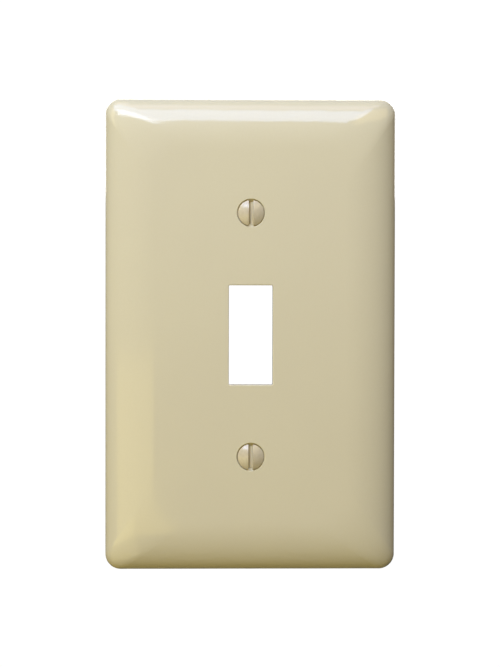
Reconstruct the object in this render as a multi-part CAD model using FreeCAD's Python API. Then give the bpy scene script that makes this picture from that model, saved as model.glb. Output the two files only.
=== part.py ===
# Toggle-switch wall plate, one gang, with its two captive oval-head screws.
#
# The plate is a one-piece moulding: a flat field that rolls off to a rounded rim on all
# four sides, hollow at the back, with a rectangular opening for a switch lever and two
# countersunk bosses. Each screw is a slotted oval-head machine screw, No. 6-32, held in the
# plate by a fibre washer that sits in a groove in the screw's shank.
#
# Frame, in millimetres: +X to the right and +Z up as seen from the front, and +Y into the
# wall. The wall surface is the plane y = 0, the plate stands in front of it at negative y,
# and the origin is midway between the two screws.
import FreeCAD, Part
import math
import os

from FreeCAD import Vector

INCH = 25.4
TO_ROOM = Vector(0, -1, 0)
INTO_WALL = Vector(0, 1, 0)
UP = Vector(0, 0, 1)
OVERRUN = 1.0  # how far a cutting tool runs past what it cuts
ROOT = 0.5  # how far a boss or rib is rooted in the field behind it
QUARTER_TURN = (1, math.sqrt(0.5), 1)  # weights of the three poles of a quarter circle or ellipse

# Plate
plate_width = 72.0
plate_height = 116.9
plate_depth = 6.0  # wall surface to front face
field_thickness = 2.1
rim_thickness = 2.0
corner_radius = 3.8  # outline's corner, seen from the front
edge_run = 12.0  # distance from the outline at which the face begins to roll off
side_land = 0.9  # straight part of the side, next to the wall
ridge_radius = 9.0  # the corners' radius where the roll-off meets the flat face
cavity_land = 0.6  # straight part of the rim's inner side
rim_round = 0.2  # rounded outer edge of the rim

# Opening for the switch lever
opening_width = 10.9
opening_height = 24.6
opening_corner = 0.3
opening_round = 0.25  # rounded front edge
collar_width = 1.5
collar_height = 1.3

# Stiffening ribs on the back of the field
rib_thickness = 1.1
rib_height = 1.0
upright_rib_x = 13.5  # each side of the centre line
outer_cross_rib_z = 47.0  # above and below the centre
inner_cross_rib_z = 17.5
ejector_radius = 2.0
ejector_height = 0.15
ejector_x = 19.0
ejector_z = 38.5

# Screws, No. 6-32 by 1/2 inch
screw_spacing = 2.375 * INCH  # fixed by the switch's mounting strap
thread_radius = 0.138 * INCH / 2
thread_pitch = INCH / 32
screw_length = 0.5 * INCH  # from the head's widest circle to the tip
head_radius = 3.2
head_crown = 0.95  # height of the oval top above the head's widest circle
head_band = 0.3  # cylindrical band at the widest circle
head_sink = 0.05  # the widest circle lies this far below the plate's face
head_edge_round = 0.1
cone_half_angle = 41.0  # 82 degree countersunk head
slot_width = 1.2
slot_below_rim = 0.9  # bottom of the slot, measured from the head's widest circle
shank_step = 0.26  # the plain shank under the head is this much thinner than the thread, in radius
groove_depth = 0.22  # below the plain shank, in radius
tip_chamfer = 0.45

# Countersunk bosses
boss_radius = 4.5
boss_clearance_y = 2.8  # wall surface to the back face of the boss
hole_clearance = 0.2  # radial, around the thread
seat_half_angle = 45.0  # the countersink opens wider than the head's cone
head_clearance = 0.3  # radial, countersink's mouth around the head
mouth_round = 0.08  # rounded front edge, no more than the straight mouth allows
seat_gap = 0.03  # along the axis, between the head's cone and the bore's edge, its seat

# Retaining washers
washer_radius = 4.0
washer_thickness = 0.8
washer_chamfer = 0.1
washer_bore_clearance = 0.07  # radial, around the bottom of the groove
washer_end_clearance = 0.05  # between the washer and each side of the groove

# Worked out from the above
half_width = plate_width / 2
half_height = plate_height / 2
field_back = field_thickness - plate_depth
cavity_depth = plate_depth - field_thickness
boss_back = -boss_clearance_y
screw_z = screw_spacing / 2
cone_slope = math.tan(math.radians(cone_half_angle))
seat_slope = math.tan(math.radians(seat_half_angle))
thread_depth = 5 / 8 * math.sqrt(3) / 2 * thread_pitch
shank_radius = thread_radius - shank_step
groove_radius = shank_radius - groove_depth
bore_radius = thread_radius + hole_clearance
mouth_radius = head_radius + head_clearance
head_rim_y = -plate_depth + head_sink
seat_y = head_rim_y + head_band + (head_radius - bore_radius) / cone_slope + seat_gap
mouth_depth = plate_depth + seat_y - (mouth_radius - bore_radius) / seat_slope  # straight part
screw_tip_y = head_rim_y + screw_length
groove_front = -washer_thickness - washer_end_clearance
groove_back = washer_end_clearance


def rounded_outline(width, height, radius, y):
    """A closed wire: an upright rounded rectangle in the plane at y."""
    x, z = width / 2, height / 2
    corners = [(x, z, 0), (-x, z, 90), (-x, -z, 180), (x, -z, 270)]
    edges = []
    for i, (cx, cz, start) in enumerate(corners):
        centre = Vector(cx - math.copysign(radius, cx), y, cz - math.copysign(radius, cz))
        angles = [math.radians(start + a) for a in (0, 45, 90)]
        arc = [centre + Vector(radius * math.cos(a), 0, radius * math.sin(a)) for a in angles]
        if i:
            edges.append(Part.makeLine(last, arc[0]))
        else:
            first = arc[0]
        edges.append(Part.Arc(*arc).toShape())
        last = arc[2]
    edges.append(Part.makeLine(last, first))
    return Part.Wire(edges)


def roll_off_patch(levels, sections):
    """One face of a roll-off: an exact quarter ellipse up the slope, swept along a straight
    side or round a corner.

    Each level gives the points of the sweep at one of the quarter ellipse's three poles, and
    sections gives the weight of each point: two for a straight side, three for a corner."""
    weights = [[up * along for along in sections] for up in QUARTER_TURN]
    degree = len(sections) - 1
    patch = Part.BSplineSurface()
    patch.buildFromPolesMultsKnots(
        levels, [3, 3], [degree + 1] * 2, [0, 1], [0, 1], False, False, 2, degree, weights
    )
    return patch.toShape()


def rolled_block(width, height, corner, run, land, depth):
    """A solid that stands on the wall plane: straight sides for land, then a roll-off along a
    quarter ellipse, run wide, to a flat face at depth. Its corners are rounded to the radius
    corner at the side and to ridge_radius at the flat face."""
    # inset from the side, distance from the wall and corner radius at the ellipse's poles
    poles = [(0, land, corner), (0, depth, corner), (run, depth, ridge_radius)]
    faces = []
    for right, top in ((1, 1), (-1, 1), (-1, -1), (1, -1)):
        turn, upright, across = [], [], []
        for inset, away, radius in poles:
            x, z = right * (width / 2 - inset), top * (height / 2 - inset)
            arc_x, arc_z = x - right * radius, z - top * radius
            turn.append([Vector(x, -away, arc_z), Vector(x, -away, z), Vector(arc_x, -away, z)])
            upright.append([Vector(x, -away, arc_z), Vector(x, -away, 0)])
            across.append([Vector(arc_x, -away, z), Vector(0, -away, z)])
        faces.append(roll_off_patch(turn, QUARTER_TURN))
        faces.append(roll_off_patch(upright, (1, 1)))
        faces.append(roll_off_patch(across, (1, 1)))
    foot = rounded_outline(width, height, corner, 0)
    flat = rounded_outline(width - 2 * run, height - 2 * run, ridge_radius, -depth)
    faces += [Part.Face(foot), Part.Face(flat)] + foot.extrude(TO_ROOM * land).Faces
    shell = Part.Compound(faces)
    shell.sewShape()
    return Part.Solid(shell.Shells[0]).removeSplitter()


def upright_box(width, height, y_front, y_back, x=0.0, z=0.0):
    """A box centred on (x, z) that runs from y_front to y_back."""
    corner = Vector(x - width / 2, y_front, z - height / 2)
    return Part.makeBox(width, y_back - y_front, height, corner)


def rod(radius, y_front, y_back, x=0.0, z=0.0):
    """A cylinder along Y."""
    return Part.makeCylinder(radius, y_back - y_front, Vector(x, y_front, z), INTO_WALL)


def edges_in_plane(solid, y, reach, x=0.0, z=0.0):
    """The edges that lie in the plane at y, with each end within reach = (across, up) of (x, z)."""
    def near(point):
        return (
            abs(point.y - y) < 1e-4
            and abs(point.x - x) <= reach[0] + 1e-4
            and abs(point.z - z) <= reach[1] + 1e-4
        )
    return [e for e in solid.Edges if all(near(v.Point) for v in e.Vertexes)]


def ribs():
    """Two upright ribs, cross ribs through the bosses and beside them, rooted in the field."""
    front, back = field_back - ROOT, field_back + rib_height
    upright = [
        upright_box(rib_thickness, plate_height, front, back, x=side * upright_rib_x)
        for side in (-1, 1)
    ]
    across = [
        upright_box(plate_width, rib_thickness, front, back, z=side * z)
        for side in (-1, 1)
        for z in (inner_cross_rib_z, screw_z, outer_cross_rib_z)
    ]
    return upright + across


def ejector_pads():
    """Low round witness pads that the mould's ejector pins leave on the back."""
    return [
        rod(ejector_radius, field_back - ROOT, field_back + ejector_height, x, z)
        for x in (-ejector_x, ejector_x)
        for z in (-ejector_z, 0, ejector_z)
    ]


def screw_hole(z):
    """The tool that cuts a countersunk hole: a clearance bore, a cone that starts from it at
    seat_y, and a straight mouth around the head's edge."""
    front = -plate_depth - OVERRUN
    bore = rod(bore_radius, front, OVERRUN, z=z)
    mouth = rod(mouth_radius, front, 0, z=z)
    widest = bore_radius + (seat_y - front) * seat_slope
    start = Vector(0, front, z)
    cone = Part.makeCone(widest, 0, widest / seat_slope, start, INTO_WALL)
    return bore.fuse(cone.common(mouth))


def opening_tool():
    """The tool that cuts the lever's opening through the field and its collar."""
    outline = rounded_outline(opening_width, opening_height, opening_corner, OVERRUN)
    return Part.Face(outline).extrude(TO_ROOM * (plate_depth + 2 * OVERRUN))


def wall_plate():
    outer = rolled_block(
        plate_width, plate_height, corner_radius, edge_run, side_land, plate_depth
    )
    cavity = rolled_block(
        plate_width - 2 * rim_thickness,
        plate_height - 2 * rim_thickness,
        corner_radius - rim_thickness,
        edge_run - rim_thickness,
        cavity_land,
        cavity_depth,
    )
    collar = upright_box(
        opening_width + 2 * collar_width,
        opening_height + 2 * collar_width,
        field_back - ROOT,
        field_back + collar_height,
    )
    bosses = [rod(boss_radius, field_back - ROOT, boss_back, z=z) for z in (-screw_z, screw_z)]
    shell = outer.cut(cavity)
    stiffeners = collar.fuse(ribs() + ejector_pads() + bosses).common(outer)
    body = shell.fuse(stiffeners).removeSplitter()
    body = body.cut([opening_tool(), screw_hole(screw_z), screw_hole(-screw_z)])
    body = round_front_edges(body.Solids[0])
    return body.makeFillet(rim_round, rim_edges(body))


def rim_edges(body):
    """The outer outline of the rim, where it meets the wall."""
    on_wall = edges_in_plane(body, 0, (half_width, half_height))
    inner = edges_in_plane(body, 0, (half_width - rim_thickness, half_height - rim_thickness))
    return [e for e in on_wall if not any(e.isSame(other) for other in inner)]


def round_front_edges(body):
    """Rounds the front edges of the opening and of the two countersinks."""
    opening = edges_in_plane(body, -plate_depth, (opening_width / 2, opening_height / 2))
    body = body.makeFillet(opening_round, opening)
    for z in (-screw_z, screw_z):
        mouth = edges_in_plane(body, -plate_depth, (mouth_radius, mouth_radius), z=z)
        body = body.makeFillet(min(mouth_round, 0.6 * mouth_depth), mouth)
    return body


def thread_outline(end):
    """The 60 degree thread, simplified to parallel grooves at its pitch, as (radius, y) pairs up
    to end. It leaves a plain collar behind the washer's groove."""
    root = thread_radius - thread_depth
    root_flat = thread_pitch / 4
    flank = thread_depth * math.tan(math.radians(30))
    turns = int((end - groove_back) / thread_pitch)
    outline = []
    for turn in range(turns, 0, -1):
        start = end - turn * thread_pitch
        outline += [
            (thread_radius, start),
            (root, start + flank),
            (root, start + flank + root_flat),
            (thread_radius, start + 2 * flank + root_flat),
        ]
    return outline + [(thread_radius, end)]


def screw_blank():
    """The screw before its slot is cut, turned about Y, with its axis through the origin."""
    crown_radius = (head_radius**2 + head_crown**2) / (2 * head_crown)
    crown_top = head_rim_y - head_crown
    crown_centre = crown_top + crown_radius
    half_way = math.asin(head_radius / crown_radius) / 2
    crown_mid = Vector(
        crown_radius * math.sin(half_way), crown_centre - crown_radius * math.cos(half_way), 0
    )
    cone_start = head_rim_y + head_band
    cone_end = cone_start + (head_radius - shank_radius) / cone_slope
    corners = [
        (head_radius, head_rim_y),
        (head_radius, cone_start),
        (shank_radius, cone_end),
        (shank_radius, groove_front),
        (groove_radius, groove_front),
        (groove_radius, groove_back),
        (thread_radius, groove_back),
        *thread_outline(screw_tip_y - tip_chamfer),
        (thread_radius - tip_chamfer, screw_tip_y),
        (0, screw_tip_y),
        (0, crown_top),
    ]
    points = [Vector(r, y, 0) for r, y in corners]
    edges = [Part.makeLine(a, b) for a, b in zip(points, points[1:])]
    edges.append(Part.Arc(points[-1], crown_mid, points[0]).toShape())
    blank = Part.Face(Part.Wire(edges)).revolve(Vector(0, 0, 0), INTO_WALL, 360)
    rim = [e for e in edges_in_plane(blank, head_rim_y, (head_radius, 0)) if e.isClosed()]
    return blank.makeFillet(head_edge_round, rim)


def screw():
    """A slotted oval-head screw about the Y axis, with its slot upright and round-bottomed."""
    slot_length = 2 * head_radius + OVERRUN
    round_y = head_rim_y + slot_below_rim - slot_width / 2
    slot = upright_box(slot_width, slot_length, head_rim_y - head_crown - OVERRUN, round_y).fuse(
        Part.makeCylinder(slot_width / 2, slot_length, Vector(0, round_y, -slot_length / 2), UP)
    )
    return screw_blank().cut(slot).Solids[0]


def retaining_washer():
    """A flat fibre washer about the Y axis, with its back face on the wall plane."""
    disc = rod(washer_radius, -washer_thickness, 0)
    disc = disc.makeChamfer(washer_chamfer, [e for e in disc.Edges if len(e.Vertexes) == 1])
    return disc.cut(rod(groove_radius + washer_bore_clearance, -OVERRUN, OVERRUN))


def main():
    os.makedirs("parts", exist_ok=True)
    nodes = {"wall_plate": wall_plate()}
    for name, z in (("upper", screw_z), ("lower", -screw_z)):
        nodes[name + "_screw"] = screw().translated(UP * z)
        nodes[name + "_retaining_washer"] = retaining_washer().translated(UP * z)
    for name, shape in nodes.items():
        print(
            f"{name}: valid {shape.isValid()}, solids {len(shape.Solids)}, "
            f"faces {len(shape.Faces)}, volume {shape.Volume:.2f} mm3"
        )
        shape.exportStep(f"parts/{name}.step")


main()
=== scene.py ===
"""A one-gang toggle switch wall plate with two captive screws, on white.

The five CAD nodes are shown as they are, each with a procedural material. All lengths are in
metres, in the frame of the CAD: +X right, +Z up, and +Y into the wall, so the front faces -Y.
"""
import math

import bpy
from mathutils import Matrix, Vector

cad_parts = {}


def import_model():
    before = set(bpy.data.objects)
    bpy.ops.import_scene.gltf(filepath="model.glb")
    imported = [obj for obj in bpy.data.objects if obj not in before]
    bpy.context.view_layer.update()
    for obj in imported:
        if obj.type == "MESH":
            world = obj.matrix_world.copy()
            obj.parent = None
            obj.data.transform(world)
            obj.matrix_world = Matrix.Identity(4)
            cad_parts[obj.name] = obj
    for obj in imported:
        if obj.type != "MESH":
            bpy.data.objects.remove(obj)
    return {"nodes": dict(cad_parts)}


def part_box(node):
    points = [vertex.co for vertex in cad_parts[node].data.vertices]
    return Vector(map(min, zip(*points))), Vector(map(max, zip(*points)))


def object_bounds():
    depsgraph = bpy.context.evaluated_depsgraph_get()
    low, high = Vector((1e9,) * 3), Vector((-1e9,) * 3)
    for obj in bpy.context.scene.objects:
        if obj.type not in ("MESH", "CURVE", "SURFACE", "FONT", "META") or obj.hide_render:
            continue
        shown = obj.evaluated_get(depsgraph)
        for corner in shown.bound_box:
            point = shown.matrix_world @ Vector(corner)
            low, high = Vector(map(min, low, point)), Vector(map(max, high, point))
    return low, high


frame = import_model()
cad_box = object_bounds()

MM = 0.001
BACKDROP = 1.03  # what the camera sees round the plate, just past white
AMBIENT = 0.1  # what the plate gets from all round
scene = bpy.context.scene
screw_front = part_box("upper_screw")[0].y


# ---------------------------------------------------------------- shader nodes

def node_tree(owner):
    owner.use_nodes = True
    owner.node_tree.nodes.clear()
    return owner.node_tree


def connect(tree, socket, value):
    """Sets the socket to a value, or links it to the socket that feeds it."""
    if isinstance(value, bpy.types.NodeSocket):
        tree.links.new(value, socket)
    else:
        socket.default_value = value


def add(tree, kind, inputs=None, **settings):
    """A shader node of that kind. inputs maps a socket's name or number to what it gets."""
    node = tree.nodes.new("ShaderNode" + kind)
    for key, value in settings.items():
        setattr(node, key, value)
    for key, value in (inputs or {}).items():
        connect(tree, node.inputs[key], value)
    return node


def place(tree):
    """Position on the piece, in metres, which moves with it."""
    return add(tree, "TexCoord").outputs["Object"]


def component(tree, vector, axis):
    return add(tree, "SeparateXYZ", {0: vector}).outputs[axis]


def noise(tree, where, size, detail=2.0, roughness=0.5, seed=0.0):
    """Noise from 0 to 1 with features of about that size, in metres."""
    shifted = add(tree, "VectorMath", {0: where, 1: (seed, seed, seed)}, operation="ADD")
    return add(tree, "TexNoise", {
        "Vector": shifted.outputs[0], "Scale": 1 / size, "Detail": detail, "Roughness": roughness,
    }).outputs[0]


def ramp(tree, value, start, end, low=0.0, high=1.0):
    """Goes smoothly from low to high while value goes from start to end."""
    return add(tree, "MapRange", {
        "Value": value, "From Min": start, "From Max": end, "To Min": low, "To Max": high,
    }, interpolation_type="SMOOTHSTEP").outputs[0]


def combine(tree, operation, a, b=0.0):
    return add(tree, "Math", {0: a, 1: b}, operation=operation).outputs[0]


def blend(tree, factor, a, b):
    """A colour that goes from a to b as factor goes from 0 to 1."""
    node = add(tree, "Mix", data_type="RGBA")
    for number, value in ((0, factor), (6, a), (7, b)):
        connect(tree, node.inputs[number], value)
    return node.outputs[2]


def relief(tree, height, depth, under=None):
    """The normal of a surface whose height, from 0 to 1, stands for that depth in metres."""
    inputs = {"Height": height, "Distance": depth, "Strength": 1.0}
    if under:
        inputs["Normal"] = under
    return add(tree, "Bump", inputs).outputs[0]


def material(name, finish):
    """A material with a Principled surface, whose inputs finish returns."""
    mat = bpy.data.materials.new(name)
    tree = node_tree(mat)
    shader = add(tree, "BsdfPrincipled", finish(tree))
    add(tree, "OutputMaterial", {"Surface": shader.outputs[0]})
    return mat


# ---------------------------------------------------------------- materials

def ivory_plastic(tree):
    """Glossy ivory moulding, with the satin back that a mould's rear half leaves."""
    where = place(tree)
    clouds = ramp(tree, noise(tree, where, 30 * MM, detail=3), 0.35, 0.65)
    grain = noise(tree, where, 0.5 * MM, detail=3, seed=3.0)
    tone = blend(tree, clouds, (0.725, 0.648, 0.413, 1), (0.715, 0.638, 0.409, 1))
    tone = blend(tree, ramp(tree, grain, 0.3, 0.8, 0.0, 0.25), tone, (0.69, 0.61, 0.38, 1))

    facing = component(tree, add(tree, "TexCoord").outputs["Normal"], "Y")
    back = ramp(tree, facing, 0.15, 0.5)
    gloss = ramp(tree, noise(tree, where, 9 * MM, detail=4, seed=7.0), 0.3, 0.75, 0.085, 0.125)
    satin = ramp(tree, grain, 0.3, 0.7, 0.34, 0.46)
    roughness = combine(tree, "ADD", gloss, combine(tree, "MULTIPLY", back, satin))

    waves = relief(tree, noise(tree, where, 16 * MM, detail=1, seed=11.0), 0.06 * MM)
    peel = relief(tree, noise(tree, where, 0.7 * MM, detail=1, seed=13.0), 0.0006 * MM, waves)
    spark = combine(tree, "MULTIPLY", noise(tree, where, 0.16 * MM, seed=17.0), back)
    return {
        "Base Color": tone,
        "Roughness": roughness,
        "IOR": 1.5,
        "Normal": relief(tree, spark, 0.012 * MM, peel),
    }


def lacquered_screw(tree):
    """Zinc-plated steel, with a lacquered head that is chipped a little along its slot."""
    where = place(tree)
    across, along = component(tree, where, "X"), component(tree, where, "Y")
    mottle = noise(tree, where, 0.9 * MM, detail=3, seed=1.0)
    fine = noise(tree, where, 0.12 * MM, detail=2, seed=5.0)
    patches = ramp(tree, mottle, 0.3, 0.7)
    lacquer = blend(tree, patches, (0.66, 0.565, 0.36, 1), (0.61, 0.52, 0.33, 1))
    from_axis = combine(tree, "ABSOLUTE", across)
    slot_wall = 0.60 * MM
    in_slot = ramp(tree, from_axis, slot_wall + 0.03 * MM, slot_wall)
    # Painted shade and painted light in the slot: the lacquer there is painted darker towards -X
    # and lighter towards +X, as the shaded and the lit sides of the slot.
    slot_painted_shade_and_light = blend(tree, ramp(tree, across, -0.25 * MM, 0.1 * MM), (0.52, 0.44, 0.26, 1),
                   (0.90, 0.79, 0.52, 1))
    lacquer = blend(tree, in_slot, lacquer, slot_painted_shade_and_light)
    zinc = blend(tree, patches, (0.60, 0.61, 0.62, 1), (0.50, 0.51, 0.53, 1))

    edge = screw_front + 2.3 * MM
    ragged = combine(tree, "ADD", along, combine(tree, "MULTIPLY", mottle, 0.3 * MM))
    coated = ramp(tree, ragged, edge + 0.05 * MM, edge - 0.05 * MM)
    from_wall = combine(tree, "ABSOLUTE", combine(tree, "SUBTRACT", from_axis, slot_wall))
    by_slot = ramp(tree, from_wall, 0.10 * MM, 0.0)
    chips = ramp(tree, combine(tree, "MULTIPLY", by_slot, fine), 0.52, 0.6)
    paint = combine(tree, "MULTIPLY", coated, combine(tree, "SUBTRACT", 1.0, chips))
    bare = combine(tree, "SUBTRACT", 1.0, paint)

    rough_paint = ramp(tree, mottle, 0.3, 0.7, 0.16, 0.24)
    return {
        "Base Color": blend(tree, paint, zinc, lacquer),
        "Metallic": bare,
        "Roughness": combine(tree, "ADD", rough_paint, combine(tree, "MULTIPLY", bare, 0.12)),
        "IOR": 1.5,
        "Normal": relief(tree, noise(tree, where, 0.35 * MM, seed=9.0), 0.004 * MM),
    }


def vulcanised_fibre(tree):
    """Matte red-brown fibre board with a faint felted grain."""
    where = place(tree)
    felt = noise(tree, where, 0.25 * MM, detail=5, roughness=0.65)
    patches = ramp(tree, noise(tree, where, 2.5 * MM, seed=4.0), 0.3, 0.7)
    tone = blend(tree, patches, (0.26, 0.075, 0.045, 1), (0.19, 0.055, 0.035, 1))
    tone = blend(tree, ramp(tree, felt, 0.45, 0.8, 0.0, 0.6), tone, (0.36, 0.14, 0.09, 1))
    return {
        "Base Color": tone,
        "Roughness": ramp(tree, felt, 0.3, 0.7, 0.62, 0.85),
        "Normal": relief(tree, felt, 0.03 * MM),
    }


finishes = {
    "plate": material("ivory_plastic", ivory_plastic),
    "screw": material("lacquered_screw", lacquered_screw),
    "washer": material("vulcanised_fibre", vulcanised_fibre),
}
for name, node in frame["nodes"].items():
    node.data.materials.clear()
    node.data.materials.append(finishes[name.split("_")[-1]])


# ---------------------------------------------------------------- stage

def towards(azimuth, elevation):
    """A unit vector from the origin at those angles, in degrees. Azimuth 0 is in front of the
    plate, and 90 is on its right."""
    a, e = math.radians(azimuth), math.radians(elevation)
    return Vector((math.sin(a) * math.cos(e), -math.cos(a) * math.cos(e), math.sin(e)))


def floor():
    """A pale floor a little below the plate, which fades into the white of the background. It
    catches shadows and throws no light back."""
    half, low = 3.0, cad_box[0][2] - 60 * MM
    fade_start, fade_end = 0.06, 0.2
    least_white = 0.35
    mesh = bpy.data.meshes.new("floor")
    mesh.from_pydata(
        [(-half, -half, low), (half, -half, low), (half, half, low), (-half, half, low)],
        [], [(0, 1, 2, 3)],
    )
    obj = bpy.data.objects.new("floor", mesh)
    scene.collection.objects.link(obj)
    mat = bpy.data.materials.new("floor")
    tree = node_tree(mat)
    where = place(tree)
    away = add(tree, "VectorMath", {0: where, 1: (1, 1, 0)}, operation="MULTIPLY").outputs[0]
    distance = add(tree, "VectorMath", {0: away}, operation="LENGTH").outputs[1]
    matt = add(tree, "BsdfDiffuse", {"Color": (0.86, 0.85, 0.81, 1)})
    white = add(tree, "Emission", {"Color": (1, 1, 1, 1), "Strength": BACKDROP})
    whiteness = ramp(tree, distance, fade_start, fade_end, least_white, 1.0)
    mix = add(tree, "MixShader", {0: whiteness, 1: matt.outputs[0], 2: white.outputs[0]})
    add(tree, "OutputMaterial", {"Surface": mix.outputs[0]})
    mesh.materials.append(mat)
    obj.visible_diffuse = obj.visible_glossy = obj.visible_shadow = False


floor()


# --- studio

def soft_box(name, azimuth, elevation, distance, size, power, colour=(1, 1, 1)):
    """A rectangular light, size = (across, up) in metres, which faces the origin. Power is in
    watts, and the camera doesn't see it."""
    direction = towards(azimuth, elevation)
    data = bpy.data.lights.new(name, "AREA")
    data.shape = "RECTANGLE"
    data.size, data.size_y = size
    data.energy = power
    data.color = colour
    obj = bpy.data.objects.new(name, data)
    scene.collection.objects.link(obj)
    obj.location = direction * distance
    obj.rotation_euler = (-direction).to_track_quat("-Z", "Y").to_euler()
    obj.visible_camera = False


# --- camera

def camera():
    """Almost straight in front, slightly from the left and above, with a long lens."""
    back, distance, roll = towards(-1.77, 1.60), 0.65, math.radians(0.11)
    data = bpy.data.cameras.new("camera")
    data.lens = 140.7
    data.sensor_width = 36.0
    data.shift_x = -0.0002
    data.shift_y = 0.0014
    obj = bpy.data.objects.new("camera", data)
    scene.collection.objects.link(obj)
    obj.matrix_world = (
        Matrix.Translation(back * distance)
        @ (-back).to_track_quat("-Z", "Y").to_matrix().to_4x4()
        @ Matrix.Rotation(roll, 4, "Z")
    )
    scene.camera = obj


camera()
# --- end camera


def world():
    """White to the camera, and a dim even light to everything else."""
    surroundings = bpy.data.worlds.new("studio")
    scene.world = surroundings
    tree = node_tree(surroundings)
    path = add(tree, "LightPath")
    room = add(tree, "Background", {"Color": (1, 1, 1, 1), "Strength": AMBIENT})
    white = add(tree, "Background", {"Color": (1, 1, 1, 1), "Strength": BACKDROP})
    mix = add(tree, "MixShader", {0: path.outputs["Is Camera Ray"], 1: room.outputs[0],
                                  2: white.outputs[0]})
    add(tree, "OutputWorld", {"Surface": mix.outputs[0]})


scene.view_settings.view_transform = "Standard"
world()
soft_box("key", -20, 49.5, 0.6, (0.66, 0.23), 3.07, (0.47, 0.61, 1.0))
soft_box("key_core", -23, 36, 0.6, (0.33, 0.10), 1.26, (0.62, 0.71, 0.96))
soft_box("top", -15, 69, 0.6, (0.66, 0.15), 0.73, (0.84, 0.74, 1.0))
soft_box("left", -60, 24, 0.6, (0.17, 0.32), 0.35, (1.0, 0.84, 0.46))
soft_box("right", 35, 36, 0.6, (0.42, 0.20), 0.58, (1.0, 0.75, 0.26))
soft_box("fill_left", -42, -30, 0.6, (0.50, 0.40), 0.75, (1.0, 0.83, 0.28))
soft_box("fill_front", -30, -12, 0.6, (0.60, 0.20), 0.59, (1.0, 0.80, 0.19))
soft_box("rear", 180, 35, 0.7, (0.80, 0.50), 3.2)
soft_box("rear_left", -150, 20, 0.7, (0.40, 0.40), 1.2)
soft_box("rear_right", 150, 20, 0.7, (0.40, 0.40), 1.2)
